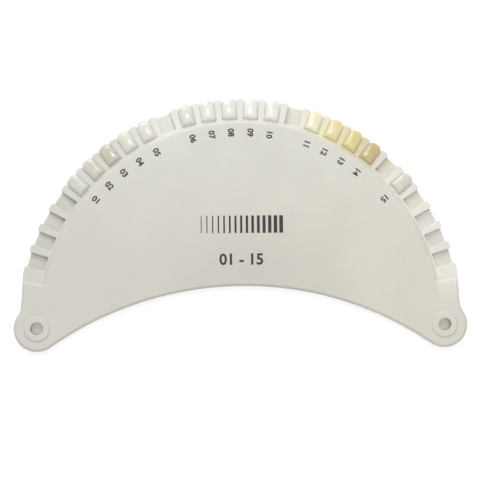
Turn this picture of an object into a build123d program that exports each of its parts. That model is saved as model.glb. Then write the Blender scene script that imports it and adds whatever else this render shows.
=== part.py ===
from build123d import *
import os
from math import atan2, cos, degrees, hypot, radians, sin, tan

# Dental shade guide: a moulded crescent holder that lies on its flat back, with pockets round
# its convex rim, and small crowned shade tabs seated in some of the pockets.
# Millimetres. +X runs along the line of the two holes, +Y towards the convex rim, +Z out of the
# face. The origin is the middle of the holder's outline, on its back.

# Holder outline, from the centre of the rim's arc
rim_r = 74.2  # tips of the dividers
crescent_depth = 62.4  # rim to concave edge, on the axis of symmetry
lobe_reach = 1.3  # how far the lobes reach out past the rim's radius
lobe_r = 7.7
hole_drop = 1.6  # how far the holes lie below the centre of the rim's arc
shoulder_angle = 46.0  # where the side edge meets the lobe, about the lobe's centre
shoulder_r = 5.0  # hollow between the side edge and the lobe
rim_end_angle = 13.3  # end of the rim's arc above the line of its centre
rim_corner_r = 1.2

# Holder section, from the back
floor_h = 1.0  # bottom of the pockets
rim_h = 2.7  # band that holds the pockets
body_rise = 0.9  # raised face inside the band
body_edge = 0.8  # bevel round the raised face
boss_rise = 0.4
boss_r = 4.3
boss_edge = 0.3
hole_r = 2.15

# Band and pockets
band_inset = 7.3  # divider tips to the foot of the raised face
band_end_pad = 3.6  # degrees from the last pocket's wall to the end of the band
band_corner_r = 1.2
pocket_count = 26
pocket_pitch = 5.85  # degrees
pocket_w = 4.9
pocket_length = 6.7  # from the divider tips to the pocket's inner wall
scallop_depth = 0.7  # how far the pocket floors stop short of the divider tips
tip_r = 0.5

# Shade tabs, thickest at the inner end, like a tooth at its neck
tab_clearance = 0.05  # to each wall of the pocket
tab_length = 6.9
tab_h = 3.0  # thickness at the inner end, on the middle line
tab_slope = 7.0  # degrees that the face falls towards the rim
tab_crown_r = 6.0  # round across the face
tab_outer_corner_r = 1.9
tab_inner_corner_r = 0.9
tab_edge = 0.25

# Filled pockets, counted from the left end of the row
tab_pockets = [5, 6, 7, 8, 9, 11, 12, 13, 14, 15, 17, 18, 19, 20, 22]

# Worked out from the sizes above
arc_y = -(rim_r - hole_drop - lobe_r) / 2  # the rim's centre, in the part's frame
lobe_x = rim_r + lobe_reach - lobe_r  # the lobes and their holes lie at plus and minus this
lobe_y = -hole_drop
bay_top = rim_r - crescent_depth
bay_reach = bay_top + lobe_r
bay_y = (lobe_x**2 + lobe_y**2 - bay_reach**2) / (2 * (lobe_y - bay_reach))
bay_r = bay_top - bay_y
bay_end_angle = degrees(atan2(lobe_y - bay_y, lobe_x))
body_h = rim_h + body_rise
boss_h = body_h + boss_rise
band_r = rim_r - band_inset
half_row = pocket_pitch * (pocket_count - 1) / 2
pocket_inner_r = rim_r - pocket_length
pocket_reach = pocket_length + tip_r  # each cut runs out past the rim
pocket_mid_r = pocket_inner_r + pocket_reach / 2
pocket_half_angle = degrees(atan2(pocket_w / 2, pocket_inner_r))
band_half_angle = half_row + pocket_half_angle + band_end_pad
tab_w = pocket_w - 2 * tab_clearance
tab_inner_r = pocket_inner_r + tab_clearance


def level(height):
    """Plane at a height above the back, with its origin at the rim's centre."""
    return Plane(origin=(0, arc_y, height))


def pocket_places(radius):
    """One place per pocket, with its own X pointing outwards."""
    return PolarLocations(radius, pocket_count, 90 - half_row, 2 * half_row, endpoint=True)


# Crescent outline: rim, concave bay, and a lobe and a side edge at each end
with BuildSketch() as crescent:
    with BuildLine():
        rim = CenterArc((0, 0), rim_r, rim_end_angle, 180 - 2 * rim_end_angle)
        CenterArc((0, bay_y), bay_r, bay_end_angle, 180 - 2 * bay_end_angle)
        lobe = CenterArc((lobe_x, lobe_y), lobe_r, shoulder_angle, bay_end_angle - 180 - shoulder_angle)
        side = Line(rim @ 0, lobe @ 0)
        mirror([lobe, side], about=Plane.YZ)
    make_face()
    shoulders = crescent.vertices().filter_by(lambda v: abs(v.Y - (lobe @ 0).Y) < 0.01)
    fillet(shoulders, shoulder_r)
    rim_corners = crescent.vertices().filter_by(lambda v: abs(v.Y - (rim @ 0).Y) < 0.01)
    fillet(rim_corners, rim_corner_r)

# Band that carries the pockets: all that lies outside the foot of the raised face
with BuildSketch() as band:
    with BuildLine():
        foot = CenterArc((0, 0), band_r, 90 - band_half_angle, 2 * band_half_angle)
        beyond = CenterArc((0, 0), rim_r + lobe_r, 90 - band_half_angle, 2 * band_half_angle)
        Line(foot @ 0, beyond @ 0)
        Line(foot @ 1, beyond @ 1)
    make_face()
    fillet(band.vertices().filter_by(lambda v: hypot(v.X, v.Y) < rim_r), band_corner_r)

# Holder, one moulding
with BuildPart() as holder:
    # Body with its bevelled face
    with BuildSketch(level(0)):
        add(crescent.sketch)
        add(band.sketch, mode=Mode.SUBTRACT)
    extrude(amount=body_h)
    chamfer(holder.faces().sort_by(Axis.Z)[-1].edges(), body_edge)

    # Band with a scalloped rim
    with BuildSketch(level(0)) as footprint:
        add(crescent.sketch)
        with pocket_places(rim_r):
            Rectangle(2 * scallop_depth, pocket_w, mode=Mode.SUBTRACT)
        rim_corner_y = rim_r * sin(radians(rim_end_angle)) + rim_corner_r
        on_rim = footprint.vertices().filter_by(lambda v: abs(hypot(v.X, v.Y) - rim_r) < 0.01)
        fillet(on_rim.filter_by(lambda v: v.Y > rim_corner_y), tip_r)
    extrude(amount=rim_h)

    # Pockets, open at the rim
    with BuildSketch(level(floor_h)):
        with pocket_places(pocket_mid_r):
            Rectangle(pocket_reach, pocket_w)
    extrude(amount=rim_h - floor_h, mode=Mode.SUBTRACT)

    # Bosses and holes at the two ends
    with BuildSketch(level(body_h)):
        with Locations((lobe_x, lobe_y), (-lobe_x, lobe_y)):
            Circle(boss_r)
    extrude(amount=boss_rise)
    chamfer(holder.faces().sort_by(Axis.Z)[-2:].edges(), boss_edge)
    with Locations(level(boss_h)):
        with Locations((lobe_x, lobe_y), (-lobe_x, lobe_y)):
            Hole(hole_r)
holder.part.label = "holder"

os.makedirs("parts", exist_ok=True)
export_step(holder.part, "parts/holder.step")

# Shade tabs, each in its own pocket
for number, pocket in enumerate(tab_pockets, start=1):
    angle = radians(90 + half_row - (pocket - 1) * pocket_pitch)
    outwards = Vector(cos(angle), sin(angle))
    seat = Plane(origin=(0, arc_y, floor_h), x_dir=outwards, z_dir=(0, 0, 1))
    with BuildPart() as tab:
        with BuildSketch(seat) as face:
            with Locations((tab_inner_r + tab_length / 2, 0)):
                Rectangle(tab_length, tab_w)
            fillet(face.vertices().group_by(Axis.X)[-1], tab_outer_corner_r)
            fillet(face.vertices().group_by(Axis.X)[0], tab_inner_corner_r)
        extrude(amount=tab_h)
        # Crowned, sloping face: the tab is cut to a round bar that leans down towards the rim
        bar = Plane(
            origin=seat.from_local_coords((tab_inner_r, 0, tab_h)),
            x_dir=seat.y_dir,
            z_dir=outwards - Vector(0, 0, tan(radians(tab_slope))),
        )
        with BuildSketch(bar):
            with Locations((0, -tab_crown_r)):
                Circle(tab_crown_r)
        extrude(amount=2 * tab_length, both=True, mode=Mode.INTERSECT)
        chamfer(tab.faces().sort_by(Axis.Z)[-1].edges(), tab_edge)
    tab.part.label = f"tab_{number:02d}"
    export_step(tab.part, f"parts/{tab.part.label}.step")
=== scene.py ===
from math import cos, pi, radians, sin

import bmesh
import bpy
from mathutils import Matrix, Vector


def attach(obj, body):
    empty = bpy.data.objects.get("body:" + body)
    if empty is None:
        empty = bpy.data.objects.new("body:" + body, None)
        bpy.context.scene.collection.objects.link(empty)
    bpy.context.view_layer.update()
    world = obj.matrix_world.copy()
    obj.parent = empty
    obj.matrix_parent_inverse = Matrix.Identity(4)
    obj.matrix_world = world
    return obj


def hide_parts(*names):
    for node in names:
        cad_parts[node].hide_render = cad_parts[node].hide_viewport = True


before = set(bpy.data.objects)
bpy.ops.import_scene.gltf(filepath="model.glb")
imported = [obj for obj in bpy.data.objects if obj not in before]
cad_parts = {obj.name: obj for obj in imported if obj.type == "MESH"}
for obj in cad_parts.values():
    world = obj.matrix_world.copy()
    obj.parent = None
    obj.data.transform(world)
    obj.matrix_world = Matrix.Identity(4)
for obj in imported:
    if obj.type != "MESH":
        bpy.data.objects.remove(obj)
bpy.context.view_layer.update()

# Sizes repeated from the part's source, in millimetres and degrees
MM = 0.001
RIM_R = 74.2
LOBE_R = 7.7
HOLE_DROP = 1.6
ARC_Y = -(RIM_R - HOLE_DROP - LOBE_R) / 2  # centre of the rim's arc
FLOOR_H = 1.0  # bottom of the pockets
BAND_H = 2.7
BODY_H = 3.6  # raised face
BAND_INSET = 7.3
BAND_R = RIM_R - BAND_INSET  # foot of the raised face
PITCH = 5.85
POCKETS = 26
POCKET_LENGTH = 6.7
SCALLOP_DEPTH = 0.7
TAB_CLEARANCE = 0.05
TAB_R = RIM_R - POCKET_LENGTH + TAB_CLEARANCE  # inner end of a tab
TAB_L = 6.9
TAB_W = 4.8
TAB_H = 3.0
TAB_POCKETS = [5, 6, 7, 8, 9, 11, 12, 13, 14, 15, 17, 18, 19, 20, 22]


def pocket_angle(pocket):
    """Direction of a pocket from the rim's centre, counted from the left end of the row."""
    return 90 + PITCH * (POCKETS - 1) / 2 - (pocket - 1) * PITCH


def srgb(r, g, b):
    """A colour as read off a screen, 0 to 255, as Blender's linear values."""
    out = []
    for c in (r, g, b):
        c = c / 255
        out.append(c / 12.92 if c <= 0.04045 else ((c + 0.055) / 1.055) ** 2.4)
    return (*out, 1.0)


def add_object(name, data):
    """A new object in the scene."""
    obj = bpy.data.objects.new(name, data)
    bpy.context.scene.collection.objects.link(obj)
    return obj


# Materials

class Shader:
    """A node material with a few short helpers."""

    def __init__(self, name):
        self.mat = bpy.data.materials.new(name)
        self.mat.use_nodes = True
        self.tree = self.mat.node_tree
        self.bsdf = self.tree.nodes["Principled BSDF"]
        self.out = self.tree.nodes["Material Output"]

    def node(self, kind):
        return self.tree.nodes.new(kind)

    def link(self, a, b):
        self.tree.links.new(a, b)

    def feed(self, value, socket):
        """Link an output to a socket, or set a plain value on it."""
        if isinstance(value, (int, float, tuple)):
            socket.default_value = value
        elif value is not None:
            self.link(value, socket)

    def set(self, **values):
        """Set plain values on the surface shader."""
        for key, value in values.items():
            self.bsdf.inputs[key.replace("_", " ")].default_value = value

    def position(self):
        return self.node("ShaderNodeNewGeometry").outputs["Position"]

    def noise(self, scale, detail, rough, vector):
        n = self.node("ShaderNodeTexNoise")
        n.inputs["Scale"].default_value = scale
        n.inputs["Detail"].default_value = detail
        n.inputs["Roughness"].default_value = rough
        self.link(vector, n.inputs["Vector"])
        return n.outputs["Fac"]

    def math(self, op, a, b=None):
        n = self.node("ShaderNodeMath")
        n.operation = op
        self.feed(a, n.inputs[0])
        self.feed(b, n.inputs[1])
        return n.outputs[0]

    def ramp(self, fac, *stops):
        n = self.node("ShaderNodeValToRGB")
        el = n.color_ramp.elements
        while len(el) < len(stops):
            el.new(0.5)
        for e, (place, colour) in zip(el, stops):
            e.position = place
            e.color = colour
        self.link(fac, n.inputs["Fac"])
        return n.outputs["Color"]

    def mix(self, fac, a, b):
        n = self.node("ShaderNodeMix")
        n.data_type = "RGBA"
        for socket, value in ((n.inputs[0], fac), (n.inputs[6], a), (n.inputs[7], b)):
            self.feed(value, socket)
        return n.outputs[2]

    def range(self, x, a, b, c, d, smooth=False):
        """Map x from the span a to b onto c to d, held at the ends."""
        n = self.node("ShaderNodeMapRange")
        if smooth:
            n.interpolation_type = "SMOOTHSTEP"
        for name, value in (("From Min", a), ("From Max", b), ("To Min", c), ("To Max", d)):
            n.inputs[name].default_value = value
        self.link(x, n.inputs["Value"])
        return n.outputs["Result"]

    def local(self, vector, origin, turn, scale):
        """The position turned into a tab's own frame, stretched along its axes."""
        n = self.node("ShaderNodeMapping")
        n.vector_type = "TEXTURE"
        n.inputs["Location"].default_value = origin
        n.inputs["Rotation"].default_value = (0, 0, turn)
        n.inputs["Scale"].default_value = scale
        self.link(vector, n.inputs["Vector"])
        return n.outputs["Vector"]

    def bump(self, height, strength, distance, normal=None):
        n = self.node("ShaderNodeBump")
        n.inputs["Strength"].default_value = strength
        n.inputs["Distance"].default_value = distance
        self.link(height, n.inputs["Height"])
        self.feed(normal, n.inputs["Normal"])
        self.link(n.outputs["Normal"], self.bsdf.inputs["Normal"])

    def soft_edges(self, radius):
        """A normal that rounds the moulding's edges over this radius."""
        n = self.node("ShaderNodeBevel")
        n.samples = 6
        n.inputs["Radius"].default_value = radius
        return n.outputs["Normal"]


def frosted_plastic():
    """Milky, slightly translucent, matte plastic, whose tone drifts over the holder with painted
    light and shade.
    """
    s = Shader("frosted_plastic")
    position = s.position()
    split = s.node("ShaderNodeSeparateXYZ")
    s.link(position, split.inputs[0])

    # Place on the holder in millimetres and degrees, from the rim's centre
    x = s.math("MULTIPLY", split.outputs["X"], 1 / MM)
    y = s.math("SUBTRACT", s.math("MULTIPLY", split.outputs["Y"], 1 / MM), ARC_Y)
    radius = s.math("SQRT", s.math("ADD", s.math("MULTIPLY", x, x), s.math("MULTIPLY", y, y)))
    angle = s.math("MULTIPLY", s.math("ARCTAN2", s.math("MAXIMUM", y, 1.0), x), 180 / pi)

    # Raised face, with painted light and shade: lightest at the top, darkest towards the bay, and
    # warmest at the right
    left_tone, right_tone = srgb(217, 215, 206), srgb(226, 222, 211)
    top_light_tone, bay_shade_tone = srgb(225, 224, 214), srgb(211, 209, 199)
    face = s.mix(s.range(x, -45, 45, 0, 1, smooth=True), left_tone, right_tone)
    face = s.mix(s.range(y, 20, 60, 0, 1, smooth=True), face, top_light_tone)
    face = s.mix(s.range(radius, 12, 50, 0, 1, smooth=True), bay_shade_tone, face)

    # Band, from its right end to its left, painted with light through the thin plastic: palest at
    # the right, tinted by light passed through the tan and yellow tabs, greyer at the left
    band_light = s.ramp(s.range(angle, 10, 170, 0, 1),
                  (0.10, srgb(243, 240, 232)),
                  (0.22, srgb(238, 234, 224)),
                  (0.285, srgb(224, 210, 173)),
                  (0.34, srgb(241, 234, 196)),
                  (0.41, srgb(238, 236, 226)),
                  (0.64, srgb(237, 236, 229)),
                  (0.74, srgb(219, 218, 209)))
    on_band = s.range(radius, BAND_R - 0.9, BAND_R + 0.3, 0, 1, smooth=True)
    above_lobe = s.range(y, 4, 18, 0, 1, smooth=True)
    colour = s.mix(s.math("MULTIPLY", on_band, above_lobe), face, band_light)

    # Pocket floors: painted shade, one even, slightly deeper tone over the recessed floors
    floor_shade_share, painted_floor_shade = 0.13, srgb(165, 164, 155)
    low = s.range(split.outputs["Z"], 1.3 * MM, 2.3 * MM, 1, 0, smooth=True)
    inside_rim = s.range(radius, RIM_R - SCALLOP_DEPTH, RIM_R - 1.2, 0, 1)
    floor_shade_mask = s.math("MULTIPLY", low, inside_rim)
    colour = s.mix(s.math("MULTIPLY", floor_shade_mask, floor_shade_share), colour, painted_floor_shade)

    # Broad clouds and fine specks in the plastic
    cloud = s.noise(48, 3, 0.55, position)
    colour = s.mix(s.range(cloud, 0.3, 0.7, 0.0, 0.35), colour, srgb(205, 203, 193))
    specks = s.noise(2600, 2, 0.6, position)
    colour = s.mix(s.range(specks, 0.35, 0.65, 0.0, 0.05), colour, srgb(196, 193, 180))
    s.link(colour, s.bsdf.inputs["Base Color"])

    roughness = s.range(s.noise(900, 3, 0.6, position), 0.3, 0.7, 0.46, 0.56)
    s.link(roughness, s.bsdf.inputs["Roughness"])
    s.set(IOR=1.49)
    s.set(Subsurface_Weight=0.5, Subsurface_Scale=0.001, Subsurface_Radius=(1.0, 0.92, 0.8))
    s.bump(s.noise(5200, 2, 0.5, position), 0.12, 0.00004, s.soft_edges(0.0003))
    return s.mat


def ceramic(number, pocket, r, g, b):
    """Glazed dental ceramic with warmer clouds and faint pale streaks along the tab."""
    s = Shader(f"ceramic_{number:02d}")
    colour, deep, pale = srgb(r, g, b), srgb(r - 7, g - 8, b - 12), srgb(r + 9, g + 10, b + 12)
    position = s.position()
    stretch = (3.2, 1.0, 1.0)
    along = s.local(position, (0, ARC_Y * MM, 0), radians(pocket_angle(pocket)), stretch)
    streaks = s.noise(600, 2, 0.5, along)
    cloud = s.noise(300, 3, 0.55, position)
    tone = s.mix(s.range(cloud, 0.3, 0.72, 0.0, 1.0), deep, colour)
    tone = s.mix(s.range(streaks, 0.35, 0.7, 0.0, 0.8), tone, pale)
    s.link(tone, s.bsdf.inputs["Base Color"])

    roughness = s.range(s.noise(1400, 2, 0.5, position), 0.3, 0.7, 0.3, 0.37)
    s.link(roughness, s.bsdf.inputs["Roughness"])
    s.set(IOR=1.45, Coat_Weight=0.4, Coat_Roughness=0.08)
    s.set(Subsurface_Weight=0.8, Subsurface_Scale=0.0015, Subsurface_Radius=(1.0, 0.88, 0.65))
    s.bump(s.noise(700, 2, 0.5, position), 0.12, 0.00005)
    return s.mat


def ink():
    """Printed black, slightly uneven."""
    s = Shader("print_ink")
    position = s.position()
    tone = s.mix(s.noise(2400, 2, 0.6, position), srgb(18, 18, 19), srgb(42, 41, 41))
    s.link(tone, s.bsdf.inputs["Base Color"])
    roughness = s.range(s.noise(3000, 2, 0.6, position), 0.3, 0.7, 0.38, 0.55)
    s.link(roughness, s.bsdf.inputs["Roughness"])
    return s.mat


# The holder keeps its CAD shape
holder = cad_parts["holder"]
holder.data.materials.clear()
holder.data.materials.append(frosted_plastic())


# Shade tabs, in millimetres: u runs outwards from a tab's inner end, v across it
CROWN_2, CROWN_4 = 0.035, 0.006  # fall across the face, by the square and the fourth power of v
NECK_U = 1.3  # highest line of the face
FALL_IN, FALL_OUT = 0.08, 0.03  # fall along the face on each side of that line, by the square
TOP_GAP = 0.03  # keeps the face under the CAD tab's top
FILL = 0.045  # how much of the clearance the visible tab takes up
INNER_R, OUTER_R = 0.6, 2.0  # corners of the outline
INNER_SHRINK, OUTER_SHRINK = 0.2, 0.7  # how fast the corners' radii shrink over the rounded edge
EDGE, LEAN = 1.35, 42  # width of the rounded edge, and the degree of its arc where it starts
EDGE_RINGS = 10
LEAST_EDGE_H = 0.3
WALL_OVER_BAND = 0.02  # how far the upright wall stands over the band
WALL_RING = 0.6  # place of a ring on the wall, as a share of its height
CORNER_STEPS = 8
FACE_SHARES = (0.9, 0.78, 0.64, 0.5, 0.36, 0.22, 0.1)  # rings of the face, as shares of its outline


def rounded_outline(x0, x1, half_w, r_in, r_out):
    """Points of a rectangle with rounded corners, anticlockwise, always as many."""
    corners = [
        (x1 - r_out, half_w - r_out, r_out, 0),
        (x0 + r_in, half_w - r_in, r_in, 90),
        (x0 + r_in, -half_w + r_in, r_in, 180),
        (x1 - r_out, -half_w + r_out, r_out, 270),
    ]
    points = []
    for cx, cy, r, start in corners:
        for i in range(CORNER_STEPS + 1):
            a = radians(start + 90 * i / CORNER_STEPS)
            points.append((cx + r * cos(a), cy + r * sin(a)))
    return points


def tab_surface(u, v):
    """Height above the pocket's floor of a tab's crowned face."""
    across = CROWN_2 * v**2 + CROWN_4 * v**4
    along = (FALL_OUT if u > NECK_U else FALL_IN) * (u - NECK_U) ** 2
    return TAB_H - TOP_GAP - across - along


def tab_rings():
    """A domed chip as rings of points: an upright wall, a rounded edge, then the face."""
    half_w = TAB_W / 2 + FILL
    pocket_depth = BAND_H - FLOOR_H
    base = rounded_outline(-FILL, TAB_L, half_w, INNER_R, OUTER_R)
    drops = [max(LEAST_EDGE_H, tab_surface(u, v) - pocket_depth - WALL_OVER_BAND) for u, v in base]
    rings = [[(u, v, 0.0) for u, v in base]]
    rings.append([(u, v, WALL_RING * (tab_surface(u, v) - drop))
                  for (u, v), drop in zip(base, drops)])
    for i in range(EDGE_RINGS):
        a = radians(LEAN + (90 - LEAN) * i / (EDGE_RINGS - 1))
        inset = EDGE * (cos(radians(LEAN)) - cos(a)) / cos(radians(LEAN))
        share = (1 - sin(a)) / (1 - sin(radians(LEAN)))
        shape = rounded_outline(-FILL + inset, TAB_L - inset, half_w - inset,
                                INNER_R - INNER_SHRINK * inset, OUTER_R - OUTER_SHRINK * inset)
        rings.append([(u, v, tab_surface(u, v) - drop * share)
                      for (u, v), drop in zip(shape, drops)])
    middle = TAB_L / 2
    last = rings[-1]
    for share in FACE_SHARES:
        inner = [(middle + (u - middle) * share, v * share) for u, v, z in last]
        rings.append([(u, v, tab_surface(u, v)) for u, v in inner])
    return rings


def make_tab(name, pocket):
    """A closed tab in its pocket, its rings joined by faces."""
    a = radians(pocket_angle(pocket))
    out, side = Vector((cos(a), sin(a), 0)), Vector((-sin(a), cos(a), 0))
    bm = bmesh.new()
    grid = []
    for ring in tab_rings():
        row = []
        for u, v, z in ring:
            p = out * (TAB_R + u) + side * v + Vector((0, ARC_Y, FLOOR_H + z))
            row.append(bm.verts.new(p * MM))
        grid.append(row)
    n = len(grid[0])
    for lower, upper in zip(grid, grid[1:]):
        for i in range(n):
            j = (i + 1) % n
            bm.faces.new((lower[i], lower[j], upper[j], upper[i]))
    bm.faces.new(list(reversed(grid[0])))
    bm.faces.new(grid[-1])
    bmesh.ops.remove_doubles(bm, verts=bm.verts, dist=1e-7)
    bmesh.ops.recalc_face_normals(bm, faces=bm.faces)
    for f in bm.faces:  # smooth but for the underside
        f.smooth = f.calc_center_median().z > (FLOOR_H + 0.05) * MM
    mesh = bpy.data.meshes.new(name)
    bm.to_mesh(mesh)
    bm.free()
    return add_object(name, mesh)


# One colour for each tab, from the left
TAB_COLOURS = [
    (214, 213, 205), (212, 209, 196), (202, 200, 184), (220, 222, 209), (227, 224, 215),
    (222, 221, 212), (230, 229, 222), (231, 230, 224), (236, 235, 228), (237, 235, 229),
    (240, 236, 209), (235, 222, 175), (225, 213, 153), (206, 188, 139), (219, 216, 206),
]
for number, (pocket, tab_colour) in enumerate(zip(TAB_POCKETS, TAB_COLOURS), start=1):
    tab = make_tab(f"shade_tab_{number:02d}", pocket)
    tab.data.materials.append(ceramic(number, pocket, *tab_colour))
    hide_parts(f"tab_{number:02d}")
    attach(tab, "root")


# Print on the raised face, in millimetres
INK = ink()
INK_H = 0.012
CAP_SHARE = 0.72  # height of a capital in the font, as a share of its size
NUMBER_R = 64.3  # outer end of the numbers
NUMBER_H, NUMBER_BOLD = 1.95, 0.09
RANGE_H, RANGE_BOLD, RANGE_Y = 3.7, 0.12, -11.9
BAR_PITCH, BAR_HALF_H, BAR_Y = 1.9, 2.9, -0.1
BAR_THIN, BAR_GROWTH = 0.12, 0.5  # half width of the first bar, and how much the last one has more


def print_piece(name, mesh):
    """Make printed marks an object in ink that rides with the holder."""
    mesh.materials.clear()
    mesh.materials.append(INK)
    obj = add_object(name, mesh)
    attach(obj, "root")


def text_piece(name, text, height, place, turn, bold, align="CENTER"):
    """Printed text that lies on the raised face, its middle or its start at place."""
    curve = bpy.data.curves.new(name, "FONT")
    curve.body = text
    curve.size = height / CAP_SHARE * MM
    curve.offset = bold * MM
    curve.extrude = INK_H * MM
    curve.resolution_u = 4
    curve.align_x = align
    curve.align_y = "CENTER"
    made = add_object(name + "_curve", curve)
    bpy.context.view_layer.update()
    graph = bpy.context.evaluated_depsgraph_get()
    mesh = bpy.data.meshes.new_from_object(made.evaluated_get(graph))
    bpy.data.objects.remove(made)
    shift = Matrix.Translation(Vector((place[0], place[1], BODY_H)) * MM)
    mesh.transform(shift @ Matrix.Rotation(radians(turn), 4, "Z"))
    print_piece(name, mesh)


def print_scale():
    """A plain scale over the range: one upright bar for each shade, from thin to broad."""
    bm = bmesh.new()
    bars = len(TAB_POCKETS)
    for i in range(bars):
        x = (i - (bars - 1) / 2) * BAR_PITCH
        half_w = BAR_THIN + BAR_GROWTH * i / (bars - 1)
        made = bmesh.ops.create_cube(bm, size=1.0)
        for v in made["verts"]:
            v.co = Vector((
                x + 2 * half_w * v.co.x,
                BAR_Y + 2 * BAR_HALF_H * v.co.y,
                BODY_H + INK_H * 2 * v.co.z,
            )) * MM
    mesh = bpy.data.meshes.new("print_scale")
    bm.to_mesh(mesh)
    bm.free()
    print_piece("print_scale", mesh)


for number, pocket in enumerate(TAB_POCKETS, start=1):
    a = pocket_angle(pocket)
    place = (NUMBER_R * cos(radians(a)), ARC_Y + NUMBER_R * sin(radians(a)))
    text = f"{number:02d}"
    text_piece(f"print_number_{text}", text, NUMBER_H, place, a - 180, NUMBER_BOLD, "LEFT")
text_piece("print_range", "01 - 15", RANGE_H, (0, RANGE_Y), 0, RANGE_BOLD)
print_scale()


# Floor and light, in metres
FLOOR_HALF = 3.0
FLOOR_DROP = 0.00002  # keeps the floor off the holder's back
SKY_LEVEL = 0.41  # strength of the world as light, where 1 is the white that is seen


def directly_seen(tree):
    """1 for camera, glossy and transmission rays, and 0 for all others."""
    path = tree.nodes.new("ShaderNodeLightPath")
    seen = path.outputs["Is Camera Ray"]
    for kind in ("Is Glossy Ray", "Is Transmission Ray"):
        either = tree.nodes.new("ShaderNodeMath")
        either.operation = "MAXIMUM"
        tree.links.new(seen, either.inputs[0])
        tree.links.new(path.outputs[kind], either.inputs[1])
        seen = either.outputs[0]
    return seen


def diffuse(s, grey):
    """A plain grey surface of a material's tree."""
    n = s.node("ShaderNodeBsdfDiffuse")
    n.inputs["Color"].default_value = (grey, grey, grey, 1)
    return n.outputs[0]


def stage_material():
    """A pale floor that keeps the object's shadow, lifted to white where it is directly seen."""
    s = Shader("stage_white")
    s.tree.nodes.remove(s.bsdf)

    # Painted shade: the lift fades where the floor is closed in, as at the bottom of the holes
    open_sky = s.node("ShaderNodeAmbientOcclusion")
    open_sky.samples = 12
    open_sky.inputs["Distance"].default_value = 0.008
    painted_hole_shade, open_lift = (0.24, 0.22, 0.17, 1), (0.72, 0.72, 0.72, 1)
    lift = s.node("ShaderNodeEmission")
    lift_colour = s.ramp(open_sky.outputs["AO"], (0.2, painted_hole_shade), (0.42, open_lift))
    s.link(lift_colour, lift.inputs["Color"])

    lifted = s.node("ShaderNodeAddShader")
    s.link(diffuse(s, 0.4), lifted.inputs[0])
    s.link(lift.outputs[0], lifted.inputs[1])
    pick = s.node("ShaderNodeMixShader")
    s.link(directly_seen(s.tree), pick.inputs[0])
    s.link(diffuse(s, 0.8), pick.inputs[1])
    s.link(lifted.outputs[0], pick.inputs[2])
    s.link(pick.outputs[0], s.out.inputs["Surface"])
    return s.mat


def area_light(name, place, size, power):
    """A square lamp that looks at the origin."""
    data = bpy.data.lights.new(name, "AREA")
    data.shape = "SQUARE"
    data.size = size
    data.energy = power
    obj = add_object(name, data)
    obj.location = place
    obj.rotation_euler = (-Vector(place)).to_track_quat("-Z", "Y").to_euler()


floor_mesh = bpy.data.meshes.new("floor")
h = FLOOR_HALF
floor_mesh.from_pydata([(-h, -h, 0), (h, -h, 0), (h, h, 0), (-h, h, 0)], [], [(0, 1, 2, 3)])
floor = add_object("floor", floor_mesh)
floor.location.z = -FLOOR_DROP
floor_mesh.materials.append(stage_material())

# White where it is directly seen, and plain soft light elsewhere
world = bpy.data.worlds.new("world")
bpy.context.scene.world = world
world.use_nodes = True
sky = world.node_tree
back = sky.nodes["Background"]
back.inputs["Color"].default_value = (1, 1, 1, 1)
level = sky.nodes.new("ShaderNodeMapRange")
level.inputs["To Min"].default_value = SKY_LEVEL
level.inputs["To Max"].default_value = 1.0
sky.links.new(directly_seen(sky), level.inputs["Value"])
sky.links.new(level.outputs["Result"], back.inputs["Strength"])

area_light("key", (-0.2, 0.70, 0.56), size=0.42, power=3.7)
area_light("top", (-0.01, 0.24, 0.60), size=0.09, power=0.82)
area_light("low", (0.15, -0.6, 0.55), size=0.5, power=1.3)

# Camera as fitted to the photo: straight above, turned by up to 2.5 degrees
DISTANCE = 450.0  # millimetres from the target
TARGET = Vector((-0.43, -5.32, 3.0))  # millimetres
TILT, YAW, ROLL = radians(-1.03), radians(2.5), radians(0.54)
FOCAL_PX = 1352.5
IMAGE_PX = 480
SENSOR = 36.0

turn = Matrix.Rotation(ROLL, 3, "Z") @ Matrix.Rotation(TILT, 3, "X") @ Matrix.Rotation(YAW, 3, "Y")
to_world = turn.transposed()
cam_data = bpy.data.cameras.new("camera")
cam_data.sensor_width = SENSOR
cam_data.lens = FOCAL_PX / IMAGE_PX * SENSOR
cam_data.clip_start = 0.01
cam_data.clip_end = 10.0
camera = add_object("camera", cam_data)
eye = (TARGET + to_world @ Vector((0, 0, DISTANCE))) * MM
camera.matrix_world = Matrix.Translation(eye) @ to_world.to_4x4()
bpy.context.scene.camera = camera
bpy.context.scene.view_settings.view_transform = "Standard"
